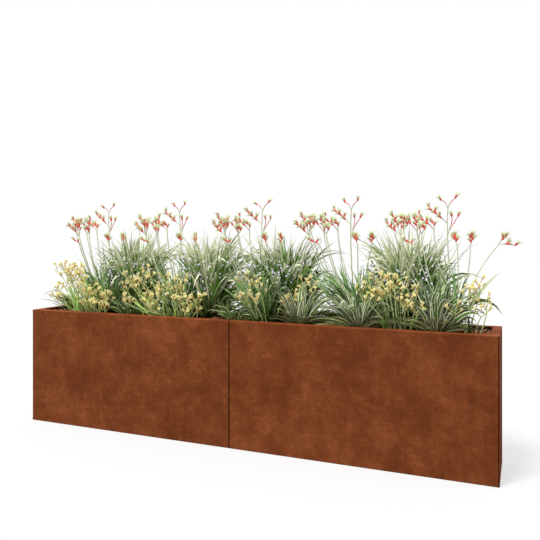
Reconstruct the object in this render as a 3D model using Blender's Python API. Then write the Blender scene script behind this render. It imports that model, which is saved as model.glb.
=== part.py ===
"""A long planter box of folded weathering steel, planted.

Two sheets make each long wall and meet at a seam in the middle; one sheet makes each end. Every sheet is
folded inwards along its top as a rim, along its bottom as a foot, and down its upright edges as returns that
bolt together out of sight. Ties hold the long walls against the soil, base plates carry a bed of gravel,
and a cloth liner holds the soil above it. The plants are plain closed solids of the right reach and height.

Frame: metres, +Z up. The origin is on the ground at the middle of the box, +X runs along its length, and the
front is at -Y.
"""

import math

import bmesh
import bpy
from mathutils import Matrix, Vector

# The box
LENGTH = 3.2
WIDTH = 0.4
HEIGHT = 0.8
SHEET = 0.003  # thickness of the folded steel
BEND = 0.005  # outer radius of every fold
BEND_STEPS = 3
RIM = 0.05  # width of the top fold
FOOT = 0.07  # width of the bottom fold
RETURN = 0.04  # depth of the upright folds
SLIT = 0.001  # relief cut where two folds would meet
RELIEF = 0.012  # height at which the upright folds start and stop
FIT = 0.0003  # clearance between two pieces that touch
SEAM = 0.0006  # clearance between the two sheets of a long wall
MITRE = 0.0005  # half the clearance in a mitred corner
CORNER_LAP = 0.006  # how far a long sheet stops short of the end of the box

# What holds it together
BOLT_RADIUS = 0.005
BOLT_HOLE = 0.0055
NUT_THREAD = 0.00525  # hole through a clinched nut
CLINCH_RADIUS = 0.008
CLINCH_HEIGHT = 0.008
BOLT_LINE = 0.175  # distance of the bolts from the middle of the box
SEAM_BOLT_HEIGHTS = (0.1, 0.44, 0.72)
TIE_HEIGHT = SEAM_BOLT_HEIGHTS[1]
STUD_RADIUS = 0.004
STUD_HOLE = 0.0046
STUD_REACH = 0.022
STUD_HEIGHTS = (0.2, 0.6)
STUD_INSET = 0.024  # distance of the studs from the end of the box
ANGLE_LEG = 0.04  # stiffener: a rolled angle
ANGLE_WALL = 0.004
STIFFENER_X = (-0.8, 0.8)
TIE_WALL = 0.004
TIE_DEPTH = 0.04
TIE_END = 0.19
ROUND = 12  # sides of a small round piece

# The floor and the filling
PLATE_HALF_WIDTH = 0.155
PLATE_HALF_LENGTH = 1.594
PLATE_WALL = 0.003
DRAIN_RADIUS = 0.01
DRAINS_PER_ROW = 4
DRAIN_ROW_Y = 0.08
RAIL_WIDTH = 0.06
FILL_HALF_LENGTH = 1.592
FILL_HALF_WIDTH = 0.1545
GRAVEL_TOP = 0.1
LINER_WALL = 0.002
LINER_TOP = 0.79
SOIL_TOP = 0.768
SOIL_GAP = 0.0005
SLOT_MARGIN = 0.001

# Plants: each row keeps to its own slice of the box's width
PLANT_FOOT = SOIL_TOP + 0.0005
CROWN_SIDES = 8
LIMB_START = 0.01  # how far inside its crown a leaf or stem starts
INNER_TURN = 0.8  # keeps the inner leaves and the stems between the outer leaves
STRAP_LILY_ROW = 0.1
STRAP_LILY_FEET = (-0.86, -0.3, 0.24, 1.1)
RED_PAW_ROW = 0.01
RED_PAW_FEET = (-1.07, -0.47, 0.16, 0.76, 1.34)
# Heads of flowers from a plant's foot
RED_PAW_HEADS = (
    (0.1, 0.03, 0.575),
    (-0.045, 0.06, 0.82),
    (-0.19, 0.08, 0.67),
    (-0.29, 0.05, 0.71),
    (-0.37, -0.03, 0.7),
    (-0.25, -0.09, 0.56),
    (-0.14, -0.1, 0.74),
    (0.0, -0.06, 0.56),
)
LEANING_HEAD = (0.32, 0.02, 0.57)  # on the last plant as well, out over the end of the box
YELLOW_PAW_ROW = -0.071
YELLOW_PAWS = (  # foot, shift of the heads, reach, rise and number of stems
    (-1.17, -0.06, 0.26, 0.41, 8),
    (-0.5, -0.06, 0.33, 0.39, 8),
    (0.16, -0.07, 0.09, 0.39, 5),
    (0.44, 0.0, 0.11, 0.31, 5),
    (1.03, -0.04, 0.19, 0.4, 6),
    (1.43, 0.04, 0.11, 0.31, 5),
)
FRONT_ROW = -0.12
STRIPED_TURF_FEET = (0.45, 0.82, 1.26)
GREEN_TURFS = (  # foot, row, reach and rise
    (-1.38, RED_PAW_ROW, 0.268, 0.2),
    (-0.8, FRONT_ROW, 0.2, 0.17),
    (0.0, FRONT_ROW, 0.2, 0.15),
)


def clear_scene():
    for obj in list(bpy.data.objects):
        bpy.data.objects.remove(obj)


def finish(name, colour, roughness, metallic=0.0):
    """A Principled material with one colour."""
    made = bpy.data.materials.new(name)
    made.use_nodes = True
    shader = made.node_tree.nodes["Principled BSDF"]
    shader.inputs["Base Color"].default_value = (*colour, 1.0)
    shader.inputs["Roughness"].default_value = roughness
    shader.inputs["Metallic"].default_value = metallic
    return made


def new_object(name, mesh, surface=None):
    made = bpy.data.objects.new(name, mesh)
    bpy.context.scene.collection.objects.link(made)
    if surface:
        made.data.materials.clear()
        made.data.materials.append(surface)
    return made


def mesh_of(bm, name):
    made = bpy.data.meshes.new(name)
    bm.to_mesh(made)
    bm.free()
    return made


def baked(obj):
    """The object's mesh with its modifiers applied. The object itself is removed."""
    bpy.context.view_layer.update()
    graph = bpy.context.evaluated_depsgraph_get()
    made = bpy.data.meshes.new_from_object(obj.evaluated_get(graph))
    bpy.data.objects.remove(obj)
    return made


def with_boolean(mesh, tool_mesh, operation):
    """The mesh with a tool joined to it (UNION) or cut from it (DIFFERENCE)."""
    body = new_object("body", mesh)
    tool = new_object("tool", tool_mesh)
    cut = body.modifiers.new("cut", "BOOLEAN")
    cut.operation = operation
    cut.solver = "EXACT"
    cut.object = tool
    made = baked(body)
    bpy.data.objects.remove(tool)
    return made


def box_mesh(low, high):
    bm = bmesh.new()
    bmesh.ops.create_cube(bm, size=1.0)
    low, high = Vector(low), Vector(high)
    bmesh.ops.scale(bm, vec=high - low, verts=bm.verts)
    bmesh.ops.translate(bm, vec=(low + high) / 2, verts=bm.verts)
    return mesh_of(bm, "box")


def joined(meshes):
    """Several meshes as one, for a tool with several separate bodies."""
    bm = bmesh.new()
    for mesh in meshes:
        bm.from_mesh(mesh)
    return mesh_of(bm, "joined")


def rods(places, axis, start, end, radius):
    """Round rods along the X, Y or Z axis, each through one place, from start to end along that axis."""
    turned = {
        "X": Matrix.Rotation(math.pi / 2, 4, "Y"),
        "Y": Matrix.Rotation(math.pi / 2, 4, "X"),
        "Z": Matrix.Identity(4),
    }[axis]
    along = "XYZ".index(axis)
    bm = bmesh.new()
    for place in places:
        middle = Vector(place)
        middle[along] = (start + end) / 2
        bmesh.ops.create_cone(
            bm,
            cap_ends=True,
            segments=ROUND,
            radius1=radius,
            radius2=radius,
            depth=abs(end - start),
            matrix=Matrix.Translation(middle) @ turned,
        )
    return mesh_of(bm, "rods")


def mirrored(mesh, x_sign, y_sign):
    """The mesh moved to another quarter of the box, with its faces still pointing out."""
    made = mesh.copy()
    made.transform(Matrix.Diagonal((x_sign, y_sign, 1, 1)))
    if x_sign * y_sign < 0:
        made.flip_normals()
    return made


# Folded sheets ---------------------------------------------------------------------------------------------


def edges_where(bm, test):
    """Boundary edges whose two ends both pass the test."""
    return [e for e in bm.edges if e.is_boundary and all(test(v.co) for v in e.verts)]


def fold(bm, edges, hinge, axis, reach):
    """Folds the sheet inwards along edges: an arc about the hinge line, then a flat of that reach."""
    verts = list({v for e in edges for v in e.verts})
    bent = bmesh.ops.spin(
        bm, geom=verts + edges, cent=hinge, axis=axis, angle=math.pi / 2, steps=BEND_STEPS
    )
    last = [g for g in bent["geom_last"] if isinstance(g, bmesh.types.BMEdge)]
    middle = Vector(hinge)
    outer = sum((v.co for e in last for v in e.verts), Vector()) / (2 * len(last))
    spin_axis = Vector(axis)
    radial = outer - middle
    radial -= radial.project(spin_axis)
    onward = spin_axis.cross(radial).normalized()
    flat = bmesh.ops.extrude_edge_only(bm, edges=last)
    tips = [g for g in flat["geom"] if isinstance(g, bmesh.types.BMVert)]
    bmesh.ops.translate(bm, vec=onward * reach, verts=tips)


def sheet_rows():
    """Heights of the rows of faces up a sheet: the slits lie next to the ends of the upright folds."""
    low, high = RELIEF, HEIGHT - RELIEF
    return [BEND, low, low + SLIT, high - SLIT, high, HEIGHT - BEND]


def flat_sheet(columns, folded_columns, to_world):
    """The unfolded face as a grid of quads. Folded columns are left out beside the slits and the upright folds."""
    bm = bmesh.new()
    rows = sheet_rows()
    for c in range(len(columns) - 1):
        for r in range(len(rows) - 1):
            if c in folded_columns and 1 <= r <= 3:
                continue
            corners = [
                (columns[c], rows[r]),
                (columns[c + 1], rows[r]),
                (columns[c + 1], rows[r + 1]),
                (columns[c], rows[r + 1]),
            ]
            bm.faces.new([bm.verts.new(to_world(a, b)) for a, b in corners])
    bmesh.ops.remove_doubles(bm, verts=bm.verts, dist=1e-6)
    return bm


def thick_sheet(bm, outward):
    """Gives the folded surface its thickness on the inner side and returns the closed mesh."""
    bmesh.ops.recalc_face_normals(bm, faces=bm.faces)
    largest = max(bm.faces, key=lambda f: f.calc_area())
    if largest.normal.dot(Vector(outward)) < 0:
        bmesh.ops.reverse_faces(bm, faces=bm.faces)
    sheet = new_object("sheet", mesh_of(bm, "sheet"))
    wall = sheet.modifiers.new("wall", "SOLIDIFY")
    wall.thickness = SHEET
    wall.offset = -1.0
    wall.use_even_offset = True
    return baked(sheet)


def long_sheet():
    """One sheet of a long wall, in the quarter of the box where X and Y are positive: seam at x = 0, corner at the far end."""
    face_y = WIDTH / 2
    seam_x = SEAM / 2
    far_x = LENGTH / 2 - CORNER_LAP
    bm = flat_sheet([seam_x, seam_x + BEND, far_x], {0}, lambda x, z: (x, face_y, z))
    low, high = RELIEF + SLIT, HEIGHT - RELIEF - SLIT

    def on_seam_fold(co):
        return abs(co.x - seam_x - BEND) < 1e-6 and low - 1e-6 < co.z < high + 1e-6

    fold(bm, edges_where(bm, on_seam_fold), (seam_x + BEND, face_y - BEND, 0), (0, 0, 1), RETURN - BEND)
    top, bottom = HEIGHT - BEND, BEND
    fold(
        bm,
        edges_where(bm, lambda co: abs(co.z - top) < 1e-6 and co.y > face_y - 1e-6),
        (0, face_y - BEND, top),
        (1, 0, 0),
        RIM - BEND,
    )
    fold(
        bm,
        edges_where(bm, lambda co: abs(co.z - bottom) < 1e-6 and co.y > face_y - 1e-6),
        (0, face_y - BEND, bottom),
        (-1, 0, 0),
        FOOT - BEND,
    )
    for v in bm.verts:
        v.co.x = min(v.co.x, LENGTH / 2 - (face_y - v.co.y) - MITRE)
    return thick_sheet(bm, (0, 1, 0))


def end_sheet():
    """The end wall at +X, with a return down each side that lies behind the long sheet."""
    face_x = LENGTH / 2
    side_y = WIDTH / 2 - SHEET - FIT
    columns = [-side_y, -side_y + BEND, side_y - BEND, side_y]
    bm = flat_sheet(columns, {0, 2}, lambda y, z: (face_x, y, z))
    low, high = RELIEF + SLIT, HEIGHT - RELIEF - SLIT
    for sign in (-1, 1):
        bend_y = sign * (side_y - BEND)

        def on_side_fold(co, bend_y=bend_y):
            return abs(co.y - bend_y) < 1e-6 and low - 1e-6 < co.z < high + 1e-6

        fold(bm, edges_where(bm, on_side_fold), (face_x - BEND, bend_y, 0), (0, 0, sign), RETURN - BEND)
    for height, sign, reach in ((HEIGHT - BEND, 1, RIM), (BEND, -1, FOOT)):

        def on_face_edge(co, height=height):
            return abs(co.z - height) < 1e-6 and co.x > face_x - 1e-6

        fold(bm, edges_where(bm, on_face_edge), (face_x - BEND, 0, height), (0, -sign, 0), reach - BEND)
    for v in bm.verts:
        limit = WIDTH / 2 - (face_x - v.co.x) - MITRE
        in_rim_or_foot = v.co.z > HEIGHT - RELIEF or v.co.z < RELIEF
        if in_rim_or_foot and abs(v.co.y) > limit:
            v.co.y = math.copysign(limit, v.co.y)
    return thick_sheet(bm, (1, 0, 0))


def stud_places(y):
    return [(LENGTH / 2 - STUD_INSET, y, z) for z in STUD_HEIGHTS]


def seam_places():
    return [(0, BOLT_LINE, z) for z in SEAM_BOLT_HEIGHTS]


def long_walls(steel):
    """Four long sheets. Studs welded inside take the end sheets, and the right ones carry clinched nuts at the seam."""
    inner_y = WIDTH / 2 - SHEET
    studs = rods(stud_places(0), "Y", inner_y - STUD_REACH, inner_y + SHEET / 2, STUD_RADIUS)
    plain = with_boolean(long_sheet(), studs, "UNION")
    holes = rods(seam_places(), "X", -0.01, 0.01, BOLT_HOLE)
    left = with_boolean(plain.copy(), holes, "DIFFERENCE")
    return_face = SEAM / 2 + SHEET
    nuts = rods(seam_places(), "X", return_face - SHEET / 2, return_face + CLINCH_HEIGHT, CLINCH_RADIUS)
    threads = rods(seam_places(), "X", -0.01, return_face + CLINCH_HEIGHT + 0.01, NUT_THREAD)
    right = with_boolean(with_boolean(plain, nuts, "UNION"), threads, "DIFFERENCE")
    for wall, y_sign in (("front", -1), ("rear", 1)):
        new_object(f"{wall}_panel_left", mirrored(left, -1, y_sign), steel)
        new_object(f"{wall}_panel_right", mirrored(right, 1, y_sign), steel)


def end_walls(steel):
    side_y = WIDTH / 2
    holes = rods(stud_places(0), "Y", -side_y, side_y, STUD_HOLE)
    drilled = with_boolean(end_sheet(), holes, "DIFFERENCE")
    new_object("end_panel_left", mirrored(drilled, -1, 1), steel)
    new_object("end_panel_right", drilled, steel)


# Fasteners -------------------------------------------------------------------------------------------------


def ring_radii(radius, hexagonal):
    """Radii of one ring of points. A hexagon has its corners at the radius and a point in the middle of each flat."""
    if not hexagonal:
        return [radius] * ROUND
    flat = radius * math.cos(math.pi / 6)
    return [radius if i % 2 == 0 else flat for i in range(ROUND)]


def turned_piece(rings, hollow=False):
    """A piece along X from rings of (position, radius, hexagonal). A hollow one closes back on its first ring."""
    bm = bmesh.new()
    bmesh.ops.create_circle(bm, segments=ROUND, radius=1.0, matrix=Matrix.Rotation(math.pi / 2, 4, "Y"))
    bm.verts.ensure_lookup_table()
    directions = [Vector((0, v.co.y, v.co.z)).normalized() for v in bm.verts]
    loop, edges = list(bm.verts), list(bm.edges)
    first = edges
    for number, (position, radius, hexagonal) in enumerate(rings):
        if number:
            grown = bmesh.ops.extrude_edge_only(bm, edges=edges)["geom"]
            edges = [g for g in grown if isinstance(g, bmesh.types.BMEdge) and g.is_boundary]
            ring_verts = {v for e in edges for v in e.verts}
            loop = [next(o for o in (e.other_vert(v) for e in v.link_edges) if o in ring_verts) for v in loop]
        for v, direction, distance in zip(loop, directions, ring_radii(radius, hexagonal)):
            v.co = Vector((position, 0, 0)) + direction * distance
    if hollow:
        bmesh.ops.bridge_loops(bm, edges=first + edges)
    else:
        for end in (first, edges):
            bmesh.ops.contextual_create(bm, geom=end)
    bmesh.ops.recalc_face_normals(bm, faces=bm.faces)
    return mesh_of(bm, "turned")


def hex_bolt(grip):
    """A hexagon bolt with its washer, head at -X, with the underside of the washer at x = 0."""
    return turned_piece(
        [
            (-0.0084, 0.0085, True),
            (-0.0022, 0.0092, True),
            (-0.002, 0.0105, False),
            (0.0, 0.0105, False),
            (0.0, BOLT_RADIUS, False),
            (grip, BOLT_RADIUS, False),
        ]
    )


def flange_nut():
    """A flanged hexagon nut whose flange lies at x = 0 and whose body is at -X."""
    return turned_piece(
        [
            (-0.0075, 0.0068, True),
            (-0.002, 0.0072, True),
            (-0.0015, 0.009, False),
            (0.0, 0.009, False),
            (0.0, STUD_HOLE, False),
            (-0.0075, STUD_HOLE, False),
        ],
        hollow=True,
    )


def fasteners(zinc):
    grip_left = SEAM / 2 + SHEET + FIT  # from the seam's middle to the face that a washer sits on
    short = hex_bolt(grip_left + SEAM / 2 + SHEET + CLINCH_HEIGHT)
    long = hex_bolt(grip_left + TIE_WALL + FIT + SEAM / 2 + SHEET + CLINCH_HEIGHT)
    tie_bolt = hex_bolt(2 * FIT + TIE_WALL + ANGLE_WALL + CLINCH_HEIGHT)
    for wall, y_sign in (("front", -1), ("rear", 1)):
        for number, height in enumerate(SEAM_BOLT_HEIGHTS, 1):
            at_tie = height == TIE_HEIGHT
            bolt = new_object(f"{wall}_seam_bolt_{number}", long if at_tie else short, zinc)
            bolt.location = (-grip_left - (TIE_WALL + FIT) * at_tie, y_sign * BOLT_LINE, height)
        for side, x in zip(("left", "right"), STIFFENER_X):
            bolt = new_object(f"{wall}_tie_bolt_{side}", tie_bolt, zinc)
            bolt.location = (x - 2 * FIT - TIE_WALL, y_sign * BOLT_LINE, TIE_HEIGHT)
    nut = flange_nut()
    seat = WIDTH / 2 - 2 * SHEET - 2 * FIT
    for wall, y_sign in (("front", -1), ("rear", 1)):
        for side, x_sign in (("left", -1), ("right", 1)):
            for number, height in enumerate(STUD_HEIGHTS, 1):
                made = new_object(f"{wall}_{side}_corner_nut_{number}", nut, zinc)
                made.location = (x_sign * (LENGTH / 2 - STUD_INSET), y_sign * seat, height)
                made.rotation_euler = (0, 0, y_sign * math.pi / 2)


# Ties, floor and filling -----------------------------------------------------------------------------------


def stiffeners(steel):
    """A rolled angle up the middle of each long sheet, one leg on the sheet and one pointing in, with a clinched nut."""
    outer_y = WIDTH / 2 - SHEET - FIT
    bm = bmesh.new()
    outline = [
        (0, outer_y - ANGLE_LEG),
        (ANGLE_WALL, outer_y - ANGLE_LEG),
        (ANGLE_WALL, outer_y - ANGLE_WALL),
        (ANGLE_LEG, outer_y - ANGLE_WALL),
        (ANGLE_LEG, outer_y),
        (0, outer_y),
    ]
    foot, head = BEND + FIT, HEIGHT - BEND - FIT
    section = bm.faces.new([bm.verts.new((x, y, foot)) for x, y in outline])
    grown = bmesh.ops.extrude_face_region(bm, geom=[section])["geom"]
    lifted = [g for g in grown if isinstance(g, bmesh.types.BMVert)]
    bmesh.ops.translate(bm, vec=(0, 0, head - foot), verts=lifted)
    bmesh.ops.recalc_face_normals(bm, faces=bm.faces)
    place = [(0, BOLT_LINE, TIE_HEIGHT)]
    nut_end = ANGLE_WALL + CLINCH_HEIGHT
    nut = rods(place, "X", ANGLE_WALL / 2, nut_end, CLINCH_RADIUS)
    thread = rods(place, "X", -0.01, nut_end + 0.01, NUT_THREAD)
    angle = with_boolean(with_boolean(mesh_of(bm, "angle"), nut, "UNION"), thread, "DIFFERENCE")
    for wall, y_sign in (("front", -1), ("rear", 1)):
        for side, x in zip(("left", "right"), STIFFENER_X):
            made = new_object(f"{wall}_stiffener_{side}", mirrored(angle, 1, y_sign), steel)
            made.location.x = x


def tie_faces():
    """The X span of each cross tie, by name: the side ones lie on the stiffeners, the middle one on the seam returns."""
    side = -FIT
    middle = -(SEAM / 2 + SHEET + FIT)
    spans = {"left": STIFFENER_X[0] + side, "centre": middle, "right": STIFFENER_X[1] + side}
    return {name: (face - TIE_WALL, face) for name, face in spans.items()}


def tie_block(span, margin=0.0):
    low, high = span
    half = TIE_DEPTH / 2 + margin
    return box_mesh(
        (low - margin, -TIE_END, TIE_HEIGHT - half),
        (high + margin, TIE_END, TIE_HEIGHT + half),
    )


def cross_ties(steel):
    places = [(0, y, TIE_HEIGHT) for y in (-BOLT_LINE, BOLT_LINE)]
    for name, span in tie_faces().items():
        holes = rods(places, "X", span[0] - 0.01, span[1] + 0.01, BOLT_HOLE)
        new_object(f"cross_tie_{name}", with_boolean(tie_block(span), holes, "DIFFERENCE"), steel)


def floor(steel):
    """Rails on the ground between the feet of the long walls, and two drained plates that lie on feet and rails."""
    rail_half = WIDTH / 2 - FOOT - FIT
    for name, x in (("left", STIFFENER_X[0]), ("centre", 0.0), ("right", STIFFENER_X[1])):
        half = RAIL_WIDTH / 2
        new_object(f"base_rail_{name}", box_mesh((x - half, -rail_half, 0), (x + half, rail_half, SHEET)), steel)
    low = SHEET + FIT
    inner, outer = 0.001, PLATE_HALF_LENGTH
    plate = box_mesh((inner, -PLATE_HALF_WIDTH, low), (outer, PLATE_HALF_WIDTH, low + PLATE_WALL))
    pitch = (outer - inner) / DRAINS_PER_ROW
    places = [
        (inner + pitch * (n + 0.5) - RAIL_WIDTH, y, 0)
        for n in range(DRAINS_PER_ROW)
        for y in (-DRAIN_ROW_Y, DRAIN_ROW_Y)
    ]
    plate = with_boolean(plate, rods(places, "Z", -0.01, 0.02, DRAIN_RADIUS), "DIFFERENCE")
    new_object("base_plate_left", mirrored(plate, -1, 1), steel)
    new_object("base_plate_right", plate, steel)


def filling(gravel, cloth, earth):
    """Gravel on the plates, then the open-topped liner and the soil in it, both slit where the ties pass through."""
    half_x, half_y = FILL_HALF_LENGTH, FILL_HALF_WIDTH
    bed = SHEET + FIT + PLATE_WALL + FIT
    new_object("drainage_gravel", box_mesh((-half_x, -half_y, bed), (half_x, half_y, GRAVEL_TOP)), gravel)
    low = GRAVEL_TOP + FIT
    shell = box_mesh((-half_x, -half_y, low), (half_x, half_y, LINER_TOP))
    in_x, in_y, floor_z = half_x - LINER_WALL, half_y - LINER_WALL, low + LINER_WALL
    hollow = box_mesh((-in_x, -in_y, floor_z), (in_x, in_y, LINER_TOP + 0.05))
    shell = with_boolean(shell, hollow, "DIFFERENCE")
    slots = joined([tie_block(span, SLOT_MARGIN) for span in tie_faces().values()])
    new_object("filter_liner", with_boolean(shell, slots.copy(), "DIFFERENCE"), cloth)
    soil = box_mesh(
        (-in_x + SOIL_GAP, -in_y + SOIL_GAP, floor_z + SOIL_GAP),
        (in_x - SOIL_GAP, in_y - SOIL_GAP, SOIL_TOP),
    )
    new_object("soil", with_boolean(soil, slots, "DIFFERENCE"), earth)


# Plants ----------------------------------------------------------------------------------------------------


def bearing_of(number, count, turn):
    """The direction of one of a ring of limbs, the whole ring turned by a share of the step between two."""
    return 2 * math.pi * (number + turn) / count


def crown(radius, height, depth):
    """The foot of a plant, which its leaves and stems grow out of."""
    bm = bmesh.new()
    bmesh.ops.create_cone(
        bm,
        cap_ends=True,
        segments=CROWN_SIDES,
        radius1=radius,
        radius2=radius * 0.6,
        depth=height,
        matrix=Matrix.Diagonal((1, depth, 1, 1)) @ Matrix.Translation((0, 0, height / 2)),
    )
    return mesh_of(bm, "crown")


def limb(start, stations):
    """A closed four-sided tube from its start through stations of (place, half width), square to its travel."""
    bm = bmesh.new()
    bmesh.ops.create_circle(
        bm, cap_ends=True, segments=4, radius=stations[0][1] * 0.7, matrix=Matrix.Translation(start)
    )
    grown = bmesh.ops.extrude_face_region(bm, geom=bm.faces[:])["geom"]
    face = next(g for g in grown if isinstance(g, bmesh.types.BMFace))
    for number, (place, half_width) in enumerate(stations):
        if number:
            face = bmesh.ops.extrude_discrete_faces(bm, faces=[face])["faces"][0]
        face.normal_update()
        if face.normal.z < 0 and not number:
            face.normal_flip()
        middle = face.calc_center_median()
        heading = (Vector(place) - middle).normalized()
        turn = face.normal.rotation_difference(heading).to_matrix()
        bmesh.ops.rotate(bm, cent=middle, matrix=turn, verts=face.verts)
        size = max((v.co - middle).length for v in face.verts)
        bmesh.ops.scale(bm, vec=[half_width / size] * 3, space=Matrix.Translation(-middle), verts=face.verts)
        bmesh.ops.translate(bm, vec=Vector(place) - middle, verts=face.verts)
    bmesh.ops.triangulate(bm, faces=bm.faces)
    bmesh.ops.recalc_face_normals(bm, faces=bm.faces)
    return mesh_of(bm, "limb")


def leaves(count, reach, rise, droop, half_width, depth=1.0, lean=0.0, turn=0.3):
    """Bundles of leaves all round: each rises, bends over at its reach and hangs by its droop."""
    made = []
    for number in range(count):
        bearing = bearing_of(number, count, turn)
        far = reach * (0.84 if number % 2 else 1.0)
        stations = []
        for share in (0.3, 0.65, 1.0):
            height = rise * math.sin(share * math.pi / 2) - droop * max(0.0, share - 0.5) ** 2 * 4
            across = far * share * depth * math.sin(bearing) + lean * height * share
            place = (far * share * math.cos(bearing), across, height)
            stations.append((place, half_width * (1.0 - 0.75 * share**2)))
        start = (LIMB_START * math.cos(bearing), LIMB_START * depth * math.sin(bearing), LIMB_START)
        made.append(limb(start, stations))
    return made


def flower_stem(tip, head):
    """A thin bare stem with a head of flowers at its tip."""
    tip = Vector(tip)
    low = Vector((tip.x * 0.3, tip.y * 0.15, tip.z * 0.4))
    neck = tip - (tip - low).normalized() * head
    stations = [(low, 0.006), (neck, 0.005), (neck.lerp(tip, 0.5), head * 0.5), (tip, head * 0.25)]
    return limb((low.x * 0.1, low.y * 0.1, LIMB_START), stations)


def outer_shell(mesh):
    """The mesh without the pockets that crossing limbs close off: only its largest connected shell."""
    bm = bmesh.new()
    bm.from_mesh(mesh)
    left, shells = set(bm.faces), []
    while left:
        shell = [left.pop()]
        for face in shell:
            near = {f for e in face.edges for f in e.link_faces} & left
            left -= near
            shell.extend(near)
        shells.append(shell)
    shells.sort(key=lambda shell: sum(f.calc_area() for f in shell))
    for pocket in shells[:-1]:
        bmesh.ops.delete(bm, geom=pocket, context="FACES")
    return mesh_of(bm, "shell")


def plant(name, surface, x, y, foot, limbs):
    """One solid from a crown and the limbs that grow out of it, standing on the soil."""
    group = bpy.data.collections.new("limbs")
    bpy.context.scene.collection.children.link(group)
    for mesh in limbs:
        group.objects.link(bpy.data.objects.new("limb", mesh))
    body = new_object("body", foot)
    join = body.modifiers.new("join", "BOOLEAN")
    join.operation = "UNION"
    join.solver = "MANIFOLD"
    join.operand_type = "COLLECTION"
    join.collection = group
    whole = outer_shell(baked(body))
    for obj in list(group.objects):
        bpy.data.objects.remove(obj)
    bpy.data.collections.remove(group)
    whole.transform(Matrix.Translation((x, y, PLANT_FOOT)))
    return new_object(name, whole, surface)


def strap_lilies(green):
    """Large clumps of strap leaves, along the back."""
    for number, x in enumerate(STRAP_LILY_FEET, 1):
        limbs = leaves(8, 0.28, 0.42, 0.06, 0.022, depth=0.34, lean=0.22)
        limbs += leaves(8, 0.12, 0.6, 0.0, 0.014, depth=0.3, lean=0.22, turn=INNER_TURN)
        plant(f"strap_lily_{number}", green, x, STRAP_LILY_ROW, crown(0.045, 0.03, 0.5), limbs)


def red_paws(green):
    """Tall plants of sword leaves and bare stems with heads of flowers, along the middle."""
    for number, x in enumerate(RED_PAW_FEET, 1):
        limbs = leaves(8, 0.21, 0.38, 0.02, 0.014, depth=0.16)
        heads = list(RED_PAW_HEADS)
        if x == RED_PAW_FEET[-1]:
            heads.append(LEANING_HEAD)
        limbs += [flower_stem(head, 0.06) for head in heads]
        plant(f"red_kangaroo_paw_{number}", green, x, RED_PAW_ROW, crown(0.045, 0.03, 0.5), limbs)


def yellow_paws(green):
    """Low plants with many small heads of flowers: two full ones on the left, and thin ones to their right."""
    for number, (x, shift, reach, rise, stems) in enumerate(YELLOW_PAWS, 1):
        limbs = leaves(stems, reach * 0.8, rise * 0.6, 0.03, 0.013, depth=0.06)
        for i in range(stems):
            bearing = bearing_of(i, stems, INNER_TURN)
            height = rise * (1.0 - 0.3 * abs(math.cos(bearing)))
            tip = (shift + reach * math.cos(bearing), 0.012 * math.sin(bearing), height)
            limbs.append(flower_stem(tip, 0.045))
        plant(f"yellow_kangaroo_paw_{number}", green, x, YELLOW_PAW_ROW, crown(0.03, 0.02, 0.5), limbs)


def lilyturfs(green, striped_green):
    """Low arching clumps: pale-edged ones along the front on the right, plain ones on the left."""
    for number, x in enumerate(STRIPED_TURF_FEET, 1):
        limbs = leaves(8, 0.2, 0.22, 0.08, 0.018, depth=0.22, lean=-0.3)
        limbs += leaves(8, 0.1, 0.31, 0.0, 0.013, depth=0.22, lean=-0.3, turn=INNER_TURN)
        plant(f"striped_lilyturf_{number}", striped_green, x, FRONT_ROW, crown(0.035, 0.02, 0.45), limbs)
    for number, (x, y, reach, rise) in enumerate(GREEN_TURFS, 1):
        lean = -0.3 if y < RED_PAW_ROW else 0.0
        limbs = leaves(8, reach, rise, rise * 0.45, 0.016, depth=0.22, lean=lean)
        limbs += leaves(8, reach * 0.45, rise * 1.2, 0.0, 0.012, depth=0.22, lean=lean, turn=INNER_TURN)
        plant(f"green_lilyturf_{number}", green, x, y, crown(0.035, 0.02, 0.45), limbs)


def main():
    clear_scene()
    steel = finish("weathering_steel", (0.19, 0.052, 0.018), 0.85, 0.1)
    inner_steel = finish("galvanised_steel", (0.45, 0.47, 0.48), 0.5, 0.8)
    zinc = finish("stainless_steel", (0.6, 0.6, 0.58), 0.35, 1.0)
    gravel = finish("gravel", (0.35, 0.33, 0.3), 0.9)
    cloth = finish("filter_cloth", (0.03, 0.025, 0.02), 0.95)
    earth = finish("potting_soil", (0.1, 0.045, 0.022), 0.95)
    long_walls(steel)
    end_walls(steel)
    floor(inner_steel)
    stiffeners(inner_steel)
    cross_ties(inner_steel)
    fasteners(zinc)
    filling(gravel, cloth, earth)
    strap_lilies(finish("strap_leaf", (0.1, 0.17, 0.06), 0.6))
    red_paws(finish("red_paw", (0.2, 0.26, 0.1), 0.6))
    yellow_paws(finish("yellow_paw", (0.4, 0.38, 0.12), 0.6))
    lilyturfs(finish("green_leaf", (0.06, 0.11, 0.04), 0.6), finish("striped_leaf", (0.3, 0.35, 0.18), 0.6))


main()
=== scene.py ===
"""Dresses the planted planter box: its finishes, its mulch and every leaf and flower of its plants.

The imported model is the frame. Steel, fasteners and filling keep their shapes and get materials; each plant's
plain solid is replaced by a piece made of leaves, stems and flowers. Lengths are in metres.
"""

import math
import random
from typing import NamedTuple

import bmesh
import bpy
import numpy as np
from bpy.props import FloatProperty, FloatVectorProperty, IntProperty, PointerProperty
from bpy.types import Operator, Panel, PropertyGroup
from mathutils import Matrix, Vector, noise


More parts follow.
